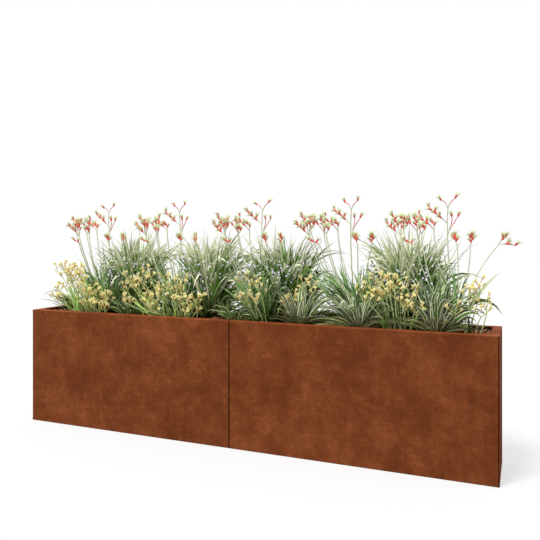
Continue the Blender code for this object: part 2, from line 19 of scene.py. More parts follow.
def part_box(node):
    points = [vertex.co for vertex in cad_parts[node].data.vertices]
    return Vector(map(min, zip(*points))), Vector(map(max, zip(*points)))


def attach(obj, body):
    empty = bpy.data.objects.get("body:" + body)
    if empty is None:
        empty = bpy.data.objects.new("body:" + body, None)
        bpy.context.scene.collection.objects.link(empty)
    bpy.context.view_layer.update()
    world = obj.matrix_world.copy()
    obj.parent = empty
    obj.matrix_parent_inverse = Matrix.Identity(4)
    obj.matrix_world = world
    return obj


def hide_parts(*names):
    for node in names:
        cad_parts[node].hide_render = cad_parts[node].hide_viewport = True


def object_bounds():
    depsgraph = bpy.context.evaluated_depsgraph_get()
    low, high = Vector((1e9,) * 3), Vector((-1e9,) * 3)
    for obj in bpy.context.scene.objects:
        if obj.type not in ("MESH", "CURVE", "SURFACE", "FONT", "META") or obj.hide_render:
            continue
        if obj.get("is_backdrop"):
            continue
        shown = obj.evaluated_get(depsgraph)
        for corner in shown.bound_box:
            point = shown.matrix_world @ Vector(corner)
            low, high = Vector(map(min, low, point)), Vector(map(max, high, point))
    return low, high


bl_info = {
    "name": "Planted Planter Box",
    "version": (1, 0, 0),
    "blender": (4, 5, 0),
    "location": "3D View > Sidebar > Planter",
    "description": "Finishes and plants for a long weathering steel planter box",
    "category": "Object",
}

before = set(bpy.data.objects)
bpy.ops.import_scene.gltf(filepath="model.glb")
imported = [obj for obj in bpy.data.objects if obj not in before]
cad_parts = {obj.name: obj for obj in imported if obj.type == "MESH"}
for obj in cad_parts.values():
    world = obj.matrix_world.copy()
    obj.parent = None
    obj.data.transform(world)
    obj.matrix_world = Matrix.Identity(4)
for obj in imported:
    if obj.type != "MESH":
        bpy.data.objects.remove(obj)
CAD_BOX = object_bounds()
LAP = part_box("front_panel_right")[1].x  # where the long sheets end against the end sheets
BODY = "root"
SOIL_LOW, SOIL_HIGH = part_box("soil")
RIM_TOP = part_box("front_panel_left")[1].z
# The tips of leaves end between these, and their feet stand behind the last
LEFT_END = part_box("end_panel_left")[0].x - 0.035
RIGHT_END = SOIL_HIGH.x - 0.06
FRONT_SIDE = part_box("front_panel_left")[0].y - 0.03
REAR_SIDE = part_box("rear_panel_left")[1].y + 0.08
FRONT_FEET = SOIL_LOW.y + 0.012


def linear(red, green, blue):
    """A colour from its 0 to 255 screen values."""
    shares = (value / 255 for value in (red, green, blue))
    return tuple(s / 12.92 if s <= 0.04045 else ((s + 0.055) / 1.055) ** 2.4 for s in shares)


def colour_of(label, part, red, green, blue):
    text, shade = f"Colour of {part}", linear(red, green, blue)
    return FloatVectorProperty(name=label, description=text, subtype="COLOR", size=3, min=0, max=1, default=shade)


def maker(kind, **settings):
    """A function that makes a property of that kind."""

    def made(label, text, default):
        return kind(name=label, description=text, default=default, min=0, **settings)

    return made


count_of = maker(IntProperty)
strength_of = maker(FloatProperty)
length_of = maker(FloatProperty, subtype="DISTANCE", unit="LENGTH")
share_of = maker(FloatProperty, max=1, subtype="FACTOR")


# --- What a user would change ---


class PLANTER_PG_steel(PropertyGroup):
    rust: colour_of("Rust", "the weathered steel", 125, 66, 34)
    dark_rust: colour_of("Dark rust", "the darker clouds", 110, 55, 28)
    light_rust: colour_of("Light rust", "the paler clouds", 141, 78, 45)
    cloud: length_of("Cloud size", "Width of the large soft patches", 0.28)
    grain: length_of("Grain size", "Width of the fine rust grains", 0.004)


class PLANTER_PG_filling(PropertyGroup):
    bark: colour_of("Bark", "the bark mulch", 146, 88, 58)
    dark_bark: colour_of("Dark bark", "the wet, dark chips", 66, 38, 25)
    chip: length_of("Chip length", "Length of a middling chip of bark", 0.026)
    chips: count_of("Chips", "Chips of bark on the soil", 1500)


class PLANTER_PG_strap_lily(PropertyGroup):
    leaves: count_of("Leaves", "Upright leaves in one clump", 210)
    core: count_of("Core leaves", "Shaded leaves inside one clump", 200)
    skirt: count_of("Skirt leaves", "Low, arching leaves in one clump", 120)
    height: length_of("Height", "Height of the longest leaves", 0.69)
    width: length_of("Leaf width", "Width of a leaf at its widest", 0.022)
    # the leaves' foot colour is painted shade near the soil
    foot: colour_of("Leaf foot", "the leaves at the soil", 38, 58, 22)
    blade: colour_of("Leaf", "the greener leaves", 106, 152, 52)
    pale: colour_of("Pale leaf", "the paler leaves", 238, 241, 208)
    shaded: colour_of("Shaded leaf", "the low leaves", 110, 140, 54)
    petal: colour_of("Petals", "the small flowers", 234, 224, 250)
    flowers: count_of("Flowers", "Small flowers on one clump", 150)


class PLANTER_PG_red_paw(PropertyGroup):
    leaves: count_of("Leaves", "Leaves in one plant", 110)
    skirt: count_of("Skirt leaves", "Low, arching leaves in one plant", 70)
    height: length_of("Leaf height", "Height of the longest leaves", 0.46)
    width: length_of("Leaf width", "Width of a leaf at its widest", 0.017)
    flower: length_of("Flower length", "Length of one flower", 0.042)
    leaf: colour_of("Leaf", "the leaves", 112, 164, 78)
    stem: colour_of("Stem", "the bare stems", 224, 232, 200)
    tube: colour_of("Flower tube", "the flowers", 242, 88, 72)
    claw: colour_of("Flower claws", "the six claws at a flower's mouth", 228, 238, 188)


class PLANTER_PG_yellow_paw(PropertyGroup):
    flower: length_of("Flower length", "Length of one flower", 0.034)
    width: length_of("Leaf width", "Width of a leaf at its widest", 0.011)
    leaf: colour_of("Leaf", "the leaves", 184, 226, 128)
    stem: colour_of("Stem", "the stems", 222, 238, 166)
    base: colour_of("Flower base", "the flowers at the stem", 240, 168, 90)
    petal: colour_of("Petals", "the open flowers", 255, 242, 164)


class PLANTER_PG_lilyturf(PropertyGroup):
    striped: count_of("Striped leaves", "Upright leaves in one striped clump", 38)
    low: count_of("Low striped leaves", "Low leaves in one striped clump", 50)
    plain: count_of("Plain leaves", "Leaves in one plain clump", 60)
    width: length_of("Leaf width", "Width of a striped leaf at its widest", 0.025)
    green: colour_of("Green", "a striped leaf's middle", 100, 134, 62)
    margin: colour_of("Margin", "a striped leaf's pale edges", 250, 248, 222)
    dark: colour_of("Plain leaf", "the leaves with no stripes", 118, 140, 82)


class PLANTER_PG_stage(PropertyGroup):
    sun: strength_of("Sun", "Strength of the soft sun", 2.5)
    sky: strength_of("Sky", "Strength of the light from all round", 0.72)
    seen_floor: share_of("Seen floor", "How pale the floor looks", 0.3)
    lit_floor: share_of("Lit floor", "How much light the floor throws back", 0.3)


# --- Shader maths ---


def maths(operation, backwards=False):
    """A method of a wire that adds a Math node."""

    def method(self, *others):
        values = (self, *others)
        return self.graph.node("ShaderNodeMath", values[::-1] if backwards else values, operation=operation)

    return method


class Wire:
    """The output of a shader node, in expressions that add a Math node for each operator."""

    __add__ = __radd__ = maths("ADD")
    __mul__ = __rmul__ = maths("MULTIPLY")
    __sub__ = maths("SUBTRACT")
    __rsub__ = maths("SUBTRACT", backwards=True)
    size = maths("ABSOLUTE")
    fraction = maths("FRACT")
    larger = maths("MAXIMUM")

    def __init__(self, graph, socket):
        self.graph = graph
        self.socket = socket

    def above(self, edge, softness):
        """0 below the edge and 1 above it, with a soft step of that width."""
        ends = {"Value": self, "From Min": edge - softness / 2, "From Max": edge + softness / 2}
        return self.graph.node("ShaderNodeMapRange", ends, interpolation_type="SMOOTHSTEP")


class Graph:
    """A node tree that is built up node by node."""

    def __init__(self, tree):
        self.tree = tree

    def node(self, kind, sockets=(), output=0, **settings):
        """A new node. Its settings come first, then the values or links of its sockets, by number or by name."""
        made = self.tree.nodes.new(kind)
        for key, value in settings.items():
            if key == "stops":
                self.set_stops(made.color_ramp, value)
            else:
                setattr(made, key, value)
        for key, value in sockets.items() if isinstance(sockets, dict) else enumerate(sockets):
            self.plug(made.inputs[key], value)
        return Wire(self, made.outputs[output])

    def set_stops(self, ramp, stops):
        while len(ramp.elements) < len(stops):
            ramp.elements.new(1.0)
        for element, (position, colour) in zip(ramp.elements, stops):
            element.position = position
            element.color = (*colour, 1.0)

    def plug(self, socket, value):
        if isinstance(value, Wire):
            self.tree.links.new(value.socket, socket)
        elif socket.type == "RGBA":
            socket.default_value = (*value, 1.0)
        else:
            socket.default_value = value

    def ray(self, kind):
        """1 where a ray of light is of that kind."""
        return self.node("ShaderNodeLightPath", output=f"Is {kind} Ray")

    def mixed(self, factor, first, second):
        sockets = {0: factor, 6: first, 7: second}
        return self.node("ShaderNodeMix", sockets, output=2, data_type="RGBA", clamp_factor=True)


class Finish(Graph):
    """A material and the nodes that make it."""

    def __init__(self, name, roughness=0.8, metallic=0.0, specular=0.5):
        self.material = bpy.data.materials.new(name)
        self.material.use_nodes = True
        super().__init__(self.material.node_tree)
        self.shader = self.tree.nodes["Principled BSDF"]
        self.set(Roughness=roughness, Metallic=metallic, Specular_IOR_Level=specular)

    def set(self, **inputs):
        for key, value in inputs.items():
            self.plug(self.shader.inputs[key.replace("_", " ")], value)

    def done(self, colour, shade, bumps, depth):
        """The material with its colour times a shade, and with bumps of that depth in metres."""
        self.set(Base_Color=self.dimmed(colour, shade))
        self.set(Normal=self.node("ShaderNodeBump", {"Height": bumps, "Distance": depth}))
        return self.material

    def place(self):
        """Where a point of the piece is, in metres."""
        return self.node("ShaderNodeTexCoord", output="Object")

    def axis(self, number):
        """Where a point of the piece is along one axis."""
        return self.node("ShaderNodeSeparateXYZ", [self.place()], output=number)

    def attribute(self, name):
        return self.node("ShaderNodeAttribute", output="Fac", attribute_name=name)

    def clouds(self, size, detail=3.0, roughness=0.5, warp=0.0, vector=None, scale=None):
        """Soft noise about 0.5, with patches of that size. Along an axis with a scale under 1 they are longer."""
        vector = vector or self.place()
        if scale:
            vector = self.node("ShaderNodeMapping", {"Vector": vector, "Scale": scale})
        values = {"Vector": vector, "Scale": 1 / size, "Detail": detail, "Roughness": roughness, "Distortion": warp}
        return self.node("ShaderNodeTexNoise", values)

    def cells(self, size, feature="F1", output="Distance"):
        """Round cells of that size: the distance from their middles or edges, or a colour for each."""
        values = {"Vector": self.place(), "Scale": 1 / size}
        return self.node("ShaderNodeTexVoronoi", values, output, feature=feature)

    def picks(self, size):
        """A number for each cell of that size."""
        return self.node("ShaderNodeRGBToBW", [self.cells(size, output="Color")])

    def ramp(self, value, *stops):
        return self.node("ShaderNodeValToRGB", [value], stops=stops)

    def dimmed(self, colour, factor):
        """The colour times a number that may vary over the surface."""
        return self.node("ShaderNodeVectorMath", {0: colour, "Scale": factor}, operation="SCALE")


# --- Shapes ---


def mesh_of(bm, name):
    made = bpy.data.meshes.new(name)
    bm.to_mesh(made)
    bm.free()
    return made


def mould_of(bm, surface=0, smooth=False):
    """A mesh to make copies of. surface is its place in its piece's list of materials."""
    for face in bm.faces:
        face.material_index = surface
        face.smooth = smooth
    return mesh_of(bm, "mould")


def marks(bm):
    """The vertex values that materials read: across a blade, along it, and a tone of its own."""
    layers = bm.verts.layers.float
    return [layers.get(name) or layers.new(name) for name in ("across", "along", "tone")]


def verts_in(parts):
    return [part for part in parts if isinstance(part, bmesh.types.BMVert)]


def is_level(edge):
    return abs(edge.verts[0].co.z - edge.verts[1].co.z) < 1e-4


def rod(sides, stations, surface=0, sharp=False):
    """A closed straight rod from z = 0 to 1 with a radius of 1. A sharp one has creased left and right edges."""
    bm = bmesh.new()
    across, along, _ = marks(bm)
    lifted = Matrix.Translation((0, 0, 0.5))
    bmesh.ops.create_cone(bm, cap_ends=True, segments=sides, radius1=1, radius2=1, depth=1, matrix=lifted)
    upright = [edge for edge in bm.edges if not is_level(edge)]
    bmesh.ops.subdivide_edges(bm, edges=upright, cuts=stations - 1)
    for vert in bm.verts:
        vert[across] = abs(vert.co.x)
        vert[along] = vert.co.z
    for edge in bm.edges:
        at = edge.verts[0].co
        if is_level(edge):
            edge.smooth = 0.01 < at.z < 0.99
        else:
            edge.smooth = not sharp or abs(at.x) < 0.99
    return mould_of(bm, surface, smooth=True)


def blade_mould(stations, surface=0):
    return rod(4, stations, surface, sharp=True)


def toned(mesh, tone):
    mesh.attributes["tone"].data.foreach_set("value", np.full(len(mesh.vertices), tone, np.float32))
    return mesh


def on_curve(curve, share):
    rest = 1 - share
    a, b, c, d = curve
    return rest**3 * a + 3 * rest**2 * share * b + 3 * rest * share**2 * c + share**3 * d


def along_curve(mould, curve, side, width, thick, tone, taper, fold=0.0, roll=0.0, twist=0.0):
    """A copy of a straight mould bent along a cubic curve.

    curve holds its four control points, and side the direction of the mould's X at the start. taper gives the
    width along the length. fold lifts the two edges by that share of the width, roll turns it about its length
    and twist turns its tip further.
    """
    co = np.empty(len(mould.vertices) * 3, np.float32)
    mould.vertices.foreach_get("co", co)
    co = co.reshape(-1, 3).astype(float)
    share = co[:, 2:3]
    rest = 1 - share
    a, b, c, d = (np.array(point, float) for point in curve)
    heading = 3 * rest**2 * (b - a) + 6 * rest * share * (c - b) + 3 * share**2 * (d - c)
    heading /= np.linalg.norm(heading, axis=1, keepdims=True)
    side = np.array(side, float)
    side = side - heading * (heading @ side)[:, None]
    side /= np.linalg.norm(side, axis=1, keepdims=True)
    up = np.cross(heading, side)
    turn = roll + twist * share
    side, up = side * np.cos(turn) + up * np.sin(turn), up * np.cos(turn) - side * np.sin(turn)
    scale = taper(share)
    lift = co[:, 1:2] * thick + np.abs(co[:, 0:1]) * width * fold
    bent = on_curve((a, b, c, d), share) + side * co[:, 0:1] * width * scale + up * lift * scale
    made = mould.copy()
    made.vertices.foreach_set("co", np.asarray(bent, np.float32).ravel())
    return toned(made, tone)


def round_stem(rng, mould, curve, radius, tip=1.0):
    """A stem or a twig along a curve. tip is the share of its radius that it keeps at its end."""

    def taper(share):
        return 1 - (1 - tip) * share

    return along_curve(mould, curve, (1, 0, 0), radius, radius, rng.random(), taper)


def placed(rng, mould, at, heading, length, spun=True):
    """A copy of a mould that is one unit long, scaled to a length, with its Z turned to the heading."""
    tone = rng.random()
    spin = rng.uniform(0, math.tau) if spun else 0.0
    turn = Vector((0, 0, 1)).rotation_difference(Vector(heading)).to_matrix().to_4x4()
    made = mould.copy()
    made.transform(Matrix.Translation(at) @ turn @ Matrix.Rotation(spin, 4, "Z") @ Matrix.Scale(length, 4))
    return toned(made, tone)


def joined(name, meshes):
    """One mesh from many copies. The copies are removed."""
    bm = bmesh.new()
    marks(bm)
    for mesh in meshes:
        bm.from_mesh(mesh)
    for mesh in meshes:
        bpy.data.meshes.remove(mesh)
    return mesh_of(bm, name)


def put(name, data):
    """A new object in the scene, at the origin."""
    made = bpy.data.objects.new(name, data)
    bpy.context.scene.collection.objects.link(made)
    return made


def new_piece(name, mesh, materials, slot, *stands_for):
    """A piece of the object, riding on the box."""
    made = put(name, mesh)
    for material in materials:
        mesh.materials.append(material)
    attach(made, BODY)
    if stands_for:
        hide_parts(*stands_for)


def coated(names, material):
    """Gives CAD nodes a material."""
    for name in names:
        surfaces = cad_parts[name].data.materials
        surfaces.clear()
        surfaces.append(material)


def nodes_named(*starts):
    return sorted(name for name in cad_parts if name.startswith(starts))


def foot_of(node):
    """The middle of a plant's foot: of the lowest points of its solid."""
    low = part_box(node)[0].z
    feet = [v.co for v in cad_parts[node].data.vertices if v.co.z < low + 1e-4]
    return sum(feet, Vector()) / len(feet)


def plants(seed, *starts):
    """Each plant whose node has such a name, with a random source of its own and the middle of its foot."""
    for number, node in enumerate(nodes_named(*starts), 1):
        yield node, random.Random(seed + number), foot_of(node)


# --- Plant parts ---

PETALS = 6
LEAF_THICKNESS = 0.0007
LEAF_FOLD = 0.28


def paw_flower(surface, tube, bulge, mouth, lobe, lobe_width):
    """A kangaroo paw's flower, one unit long and bent forward: a bulging tube, and pointed lobes round its mouth."""
    bm = bmesh.new()
    across, along, _ = marks(bm)
    foot, middle = bulge * 0.45, Matrix.Translation((0, 0, tube / 2))
    bmesh.ops.create_cone(bm, cap_ends=True, segments=PETALS, radius1=foot, radius2=mouth, depth=tube, matrix=middle)
    upright = [edge for edge in bm.edges if not is_level(edge)]
    rings = bmesh.ops.subdivide_edges(bm, edges=upright, cuts=2)
    for vert in verts_in(rings["geom_inner"]):
        vert.co.x, vert.co.y = vert.co.xy.normalized() * bulge
    for vert in bm.verts:
        vert[along] = vert.co.z
        vert[across] = min(1.0, vert.co.xy.length / mouth)
    rim = Matrix.Translation((mouth * 0.7, 0, tube * 0.92))
    lean = Matrix.Rotation(0.6, 4, "Y")
    shape = Matrix.Diagonal((0.4, 1, 1, 1)) @ Matrix.Translation((0, 0, lobe / 2))
    widths = {"radius1": lobe_width / 2, "radius2": lobe_width / 10}
    for number in range(PETALS):
        turned = Matrix.Rotation(math.tau * (number + 0.5) / PETALS, 4, "Z") @ rim @ lean
        matrix = turned @ shape
        petal = bmesh.ops.create_cone(bm, cap_ends=True, segments=4, depth=lobe, matrix=matrix, **widths)
        for vert in petal["verts"]:
            vert[along] = tube + (vert.co - turned.translation).length
    for vert in bm.verts:
        vert.co.x += 0.3 * vert.co.z**2
    return mould_of(bm, surface, smooth=True)


def star_flower(surface):
    """A small flat open flower with a radius of one."""
    bm = bmesh.new()
    across, along, _ = marks(bm)
    bmesh.ops.create_circle(bm, cap_ends=True, segments=PETALS * 2, radius=1)
    top = bmesh.ops.extrude_face_region(bm, geom=bm.faces[:])["geom"]
    bmesh.ops.translate(bm, vec=(0, 0, 0.12), verts=verts_in(top))
    for vert in bm.verts:
        step = round(math.atan2(vert.co.y, vert.co.x) / (math.pi / PETALS))
        if step % 2 == 0:  # between two petals
            vert.co.x *= 0.42
            vert.co.y *= 0.42
        else:
            vert.co.z += 0.22
        vert[across] = vert.co.xy.length
        vert[along] = 1.0
    bmesh.ops.recalc_face_normals(bm, faces=bm.faces)
    return mould_of(bm, surface)


def leaf_curve(start, out, height, arch):
    shares = ((0.33 - 0.13 * arch, 0.33 + 0.3 * arch), (0.67 - 0.07 * arch, 0.67 + 0.5 * arch), (1, 1 - 0.5 * arch))
    return (start, *(start + (out * far + Vector((0, 0, height * high))) for far, high in shares))


def flat_leaf(mould, curve, side, half_width, tone, roll, twist=0.0, foot_width=0.6):
    """A leaf along a curve: it widens from its foot to a third of the way and narrows to a point."""

    def taper(share):
        swell = foot_width + (1 - foot_width) * np.sin(np.minimum(share / 0.35, 1) * math.pi / 2)
        return np.maximum(swell * (1 - share**3.6), 0.04)

    return along_curve(mould, curve, side, half_width, LEAF_THICKNESS, tone, taper, LEAF_FOLD, roll, twist)


def leaf(rng, mould, curve, width, roll, foot_width=0.6):
    """A leaf with its own width, tone, roll and twist."""
    heading = curve[2] - curve[0]
    length = math.hypot(heading.x, heading.y) or 1.0
    side = (-heading.y / length, heading.x / length, 0.0)
    turned = rng.gauss(0, roll)
    half_width = width / 2 * rng.uniform(0.7, 1.15)
    twist = rng.uniform(-1.0, 1.0) * roll
    return flat_leaf(mould, curve, side, half_width, rng.random(), turned, twist, foot_width)


class Tuft(NamedTuple):
    """How a layer of leaves grows from a plant's foot. Lengths are in metres, and the rest are shares."""

    leaves: int
    height: float  # of the longest leaves
    width: float  # of a leaf where it is widest
    reach: tuple  # how far the outermost tips go to the sides, the front and the back
    crown: float  # radius of the ring that the leaves start on
    fall: float  # how much lower the outermost tips are
    arch: tuple  # least and most bend of a leaf: at 0 it is straight, at 1 it turns over and hangs
    shortest: float  # leaf, as a share of the longest
    roll: float = 0.8  # how much the leaves turn about their length
    foot_width: float = 0.6  # of a leaf, as a share of its width
    inner: float = 0.0  # how far out the innermost tips are, as a share of the reach


def tuft(rng, foot, mould, grow):
    """A layer of leaves, spread round the foot."""
    made = []
    sides, front, back = grow.reach
    for _ in range(grow.leaves):
        bearing = rng.uniform(0, math.tau)
        spread = math.sqrt(rng.uniform(grow.inner**2, 1))
        x, y = math.cos(bearing), math.sin(bearing)
        out = Vector((x * sides, y * (back if y > 0 else front), 0)) * spread
        start = foot + Vector((x, y * 0.7, 0)) * grow.crown * rng.uniform(0.2, 1.0)
        start.y = max(start.y, FRONT_FEET)
        height = grow.height * (1 - grow.fall * spread**2) * rng.uniform(grow.shortest, 1.0)
        curve = leaf_curve(start, out, height, rng.uniform(*grow.arch) * (0.15 + 0.85 * spread))
        tip = curve[3] + Vector((rng.gauss(0, 0.15), rng.gauss(0, 0.07), 0)) * height
        inside = 0.09 * min(max((RIM_TOP + 0.1 - tip.z) / 0.07, 0), 1)  # low leaves stay between the rims
        tip.x = min(max(tip.x, LEFT_END + inside), RIGHT_END)
        tip.y = min(max(tip.y, FRONT_SIDE + inside), REAR_SIDE - inside)
        wander = tip - curve[3]
        knee, shoulder = curve[1] - wander * 0.3, curve[2] + wander * 0.3
        knee.y = max(knee.y, SOIL_LOW.y)
        made.append(leaf(rng, mould, (start, knee, shoulder, tip), grow.width, grow.roll, grow.foot_width))
    return made


def grown(rng, foot, layers):
    """All the leaves of a plant. Each layer is a mould and the tuft that is made of it."""
    return [piece for mould, grow in layers for piece in tuft(rng, foot, mould, grow)]


# --- Materials ---


def leaf_finish(name, foot, blade, pale, margin=1.2, palest=1.25, edge=0.25):
    """Leaves darkened towards their feet by the foot colour: painted shade near the soil. The pale colour takes their
    margins, their tips and some whole leaves.

    margin is where it starts across half a leaf, edge how soft that is, and palest the share of the leaves that
    it leaves green.
    """
    finish = Finish(name, roughness=0.65, specular=0.06)
    across, along, tone = (finish.attribute(key) for key in ("across", "along", "tone"))
    grid = finish.node("ShaderNodeCombineXYZ", [across * 7.0, along * 1.5, tone * 60.0])
    veins = finish.clouds(1.0, detail=2, vector=grid)
    green = 1 - (across + (veins - 0.5) * edge).above(margin, edge)
    faded = (tone * 0.45 + along).above(palest, 0.2)
    colour = finish.mixed(1 - green * (1 - faded), blade, pale)
    # painted shade: the lowest part of each leaf takes the dark foot colour
    foot_shaded = finish.mixed(along.above(0.2, 0.4), foot, colour)
    own = ((tone * 23).fraction() * 1.08 - 0.56) * (1 - faded * 0.55)
    return finish.done(foot_shaded, 0.98 + own + (veins - 0.5) * 0.4, veins, 0.0005)


def stem_finish(name, colour, upper, change=0.8, softness=0.3):
    """A furry stem: one colour, and another from the change on."""
    finish = Finish(name, roughness=0.8, specular=0.2)
    along, tone = finish.attribute("along"), finish.attribute("tone")
    fur = finish.clouds(0.004, detail=2)
    blend = finish.mixed(along.above(change, softness), colour, upper)
    return finish.done(blend, 0.75 + 0.3 * tone + (fur - 0.5) * 0.8, fur, 0.001)


def flower_finish(name, base, tip, change):
    """A velvety flower: one colour at its base, another from the change on. Light passes through its thin petals, plus
    a faint painted glow.
    """
    finish = Finish(name, roughness=0.75, specular=0.2)
    finish.set(Sheen_Weight=0.5, Sheen_Roughness=0.5, Subsurface_Weight=0.3, Subsurface_Scale=0.008)
    finish.set(Subsurface_Radius=(0.7, 0.7, 0.7))
    along, tone = finish.attribute("along"), finish.attribute("tone")
    fuzz = finish.clouds(0.003, detail=2)
    colour = finish.mixed((along + (fuzz - 0.5) * 0.2).above(change, 0.2), base, tip)
    # painted glow: the flower gives off a tenth of its own colour, though it is no lamp
    finish.set(Emission_Color=finish.dimmed(colour, 0.1), Emission_Strength=1.0)
    return finish.done(colour, 0.88 + 0.24 * tone + (fuzz - 0.5) * 0.4, fuzz, 0.0008)


def steel_finish(look):
    """Weathered steel: soft clouds of rust, faint runs down the sheets, a fine grain, painted shade where the sheets
    meet and a painted highlight on the rims' tops.
    """
    finish = Finish("weathering_steel", roughness=0.85, specular=0.05)
    broad = finish.clouds(look.cloud, warp=0.4)
    patches = finish.clouds(look.cloud * 0.3, detail=6, roughness=0.62)
    runs = finish.clouds(0.03, scale=(1, 1, 0.08))
    grain = finish.clouds(look.grain, roughness=0.7)
    mottle = finish.clouds(look.grain * 6, detail=4, roughness=0.75)
    level_strokes = finish.clouds(0.016, detail=1, scale=(0.3, 1, 1)).above(0.63, 0.1)
    upright_strokes = finish.clouds(0.013, detail=1, scale=(1, 1, 0.25)).above(0.66, 0.1)
    scuffs = (level_strokes + upright_strokes) * patches.above(0.48, 0.1)
    level = broad * 0.4 + patches * 0.36 + mottle * 0.16 + runs * 0.08
    rust = finish.ramp(level, (0.4, look.dark_rust), (0.5, look.rust), (0.62, look.light_rust))
    across = finish.axis(0).size()
    # painted shade: a dark band down the middle, where the two long sheets meet in a groove
    seam_shade_mask = across.above(0.005, 0.005)
    # painted highlight: the tops of the rims, which face up to the light, are made lighter
    painted_rim_top_highlight = finish.axis(2).above(RIM_TOP - 0.001, 0.001)
    # painted shade: dark bands where the long sheets meet the end sheets
    lap_shade_mask = (across - LAP).size().above(0.0025, 0.003)
    # the painted shade of both meetings, left off the rims' tops
    joint_shade_mask = lap_shade_mask.larger(painted_rim_top_highlight) * seam_shade_mask
    # the last term here is the painted highlight on the rims' tops
    shade = 1 + (grain - 0.5) * 0.8 + (mottle - 0.5) * 0.3 + scuffs * 0.2 + painted_rim_top_highlight * 0.18
    finish.set(Roughness=0.72 + (patches - 0.5) * 0.4 + (grain - 0.5) * 0.3)
    return finish.done(rust, shade * (0.3 + 0.7 * joint_shade_mask), grain + patches * 0.5, 0.0006)


def zinc_finish():
    """Hot-dip galvanised steel: dull grey with faint spangles."""
    finish = Finish("galvanised_steel", metallic=0.75)
    spangle = finish.picks(0.012)
    haze = finish.clouds(0.1, detail=4)
    tint = finish.mixed(spangle, linear(150, 154, 156), linear(190, 193, 194))
    finish.set(Roughness=0.42 + (spangle - 0.5) * 0.18 + haze * 0.1)
    return finish.done(tint, 0.8 + haze * 0.4, spangle, 0.0002)


def stainless_finish():
    """Stainless fasteners: bright, with fine turning marks."""
    finish = Finish("stainless_steel", metallic=1.0)
    turning = finish.clouds(0.0008, detail=2)
    stain = finish.clouds(0.02)
    tint = finish.mixed(stain.above(0.5, 0.3), linear(190, 189, 185), linear(214, 213, 209))
    finish.set(Roughness=0.24 + turning * 0.2)
    return finish.done(tint, 1.0, turning, 0.0001)


def gravel_finish():
    """Washed drainage gravel: rounded stones of mixed greys and browns, with painted shade in the gaps between them.
    """
    finish = Finish("gravel", roughness=0.85)
    stone = 0.018
    pick = finish.picks(stone)
    edges = finish.cells(stone, feature="DISTANCE_TO_EDGE")
    tint = finish.ramp(pick, (0.2, linear(96, 90, 82)), (0.5, linear(140, 133, 122)), (0.8, linear(176, 168, 154)))
    # painted shade: each stone darkens towards its edge, in the gaps between stones
    return finish.done(tint, 0.3 + 0.7 * edges.above(0.06, 0.1), 1 - finish.cells(stone), 0.006)


def cloth_finish():
    """The liner's woven black cloth."""
    finish = Finish("filter_cloth", roughness=0.95, specular=0.2)
    threads = {"Vector": finish.place(), "Scale": 160.0, "Distortion": 0.4}
    weft, warp = (finish.node("ShaderNodeTexWave", threads, bands_direction=axis) for axis in "XZ")
    weave = weft * 0.5 + warp * 0.5
    dust = finish.clouds(0.05, detail=4)
    tint = finish.mixed(dust.above(0.55, 0.3), linear(30, 27, 24), linear(62, 50, 38))
    return finish.done(tint, 0.7 + 0.5 * weave, weave, 0.0006)


def bark_finish(look):
    """Bark and soil: chips of mixed browns, each with its own tone and a grain along it."""
    finish = Finish("bark_mulch", roughness=0.92, specular=0.2)
    fibre = finish.clouds(0.006, detail=5, roughness=0.7, scale=(1, 3, 3))
    level = finish.attribute("tone") * 0.7 + fibre * 0.3
    tint = finish.ramp(level, (0.2, look.dark_bark), (0.5, look.bark), (0.85, linear(186, 126, 88)))
    return finish.done(tint, 0.6 + fibre * 0.8, fibre, 0.003)


# --- The box and its filling ---


class PLANTER_OT_finish_box(Operator):
    """Give the sheets, the base, the ties and the fasteners their metals"""

    bl_idname = "planter.finish_box"
    bl_label = "Finish the Box"

    def execute(self, context):
        look = context.scene.planter_steel
        coated(nodes_named("front_panel", "rear_panel", "end_panel"), steel_finish(look))
        coated(nodes_named("front_stiffener", "rear_stiffener", "cross_tie", "base_"), zinc_finish())
        fasteners = [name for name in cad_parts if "bolt" in name or "nut" in name]
        coated(fasteners, stainless_finish())
        return {"FINISHED"}


def chip_moulds(rng):
    """A few chips of bark one unit long: split slabs with broken corners."""
    made = []
    for _ in range(5):
        bm = bmesh.new()
        marks(bm)
        bmesh.ops.create_cube(bm, size=1)
        bmesh.ops.scale(bm, vec=(1, rng.uniform(0.35, 0.6), rng.uniform(0.12, 0.24)), verts=bm.verts)
        bmesh.ops.subdivide_edges(bm, edges=[e for e in bm.edges if e.calc_length() > 0.9], cuts=1)
        for vert in bm.verts:
            vert.co += Vector([rng.uniform(-0.09, 0.09) for _ in range(3)])
        bmesh.ops.bevel(bm, geom=bm.edges[:], offset=0.035, segments=1, affect="EDGES", profile=0.5, material=-1)
        made.append(mould_of(bm))
    return made


def crust():
    """The bumpy top of the soil, one closed slab."""
    bm = bmesh.new()
    tone = marks(bm)[2]
    width, depth = SOIL_HIGH.x - SOIL_LOW.x, SOIL_HIGH.y - SOIL_LOW.y
    step = 0.012
    bmesh.ops.create_grid(bm, x_segments=round(width / step), y_segments=round(depth / step), size=0.5)
    bmesh.ops.scale(bm, vec=(width, depth, 1), verts=bm.verts)
    bmesh.ops.translate(bm, vec=(0, 0, SOIL_HIGH.z + 0.0003), verts=bm.verts)
    top = bmesh.ops.extrude_face_region(bm, geom=bm.faces[:])["geom"]
    for vert in verts_in(top):
        swell = noise.noise(vert.co * 9) * 0.004 + noise.noise(vert.co * 45) * 0.004
        vert.co.z += max(0.001, 0.007 + swell)
    for vert in bm.verts:
        vert[tone] = min(1.0, max(0.0, 0.4 + 0.5 * noise.noise(vert.co * 60)))
    bmesh.ops.recalc_face_normals(bm, faces=bm.faces)
    return mesh_of(bm, "crust")


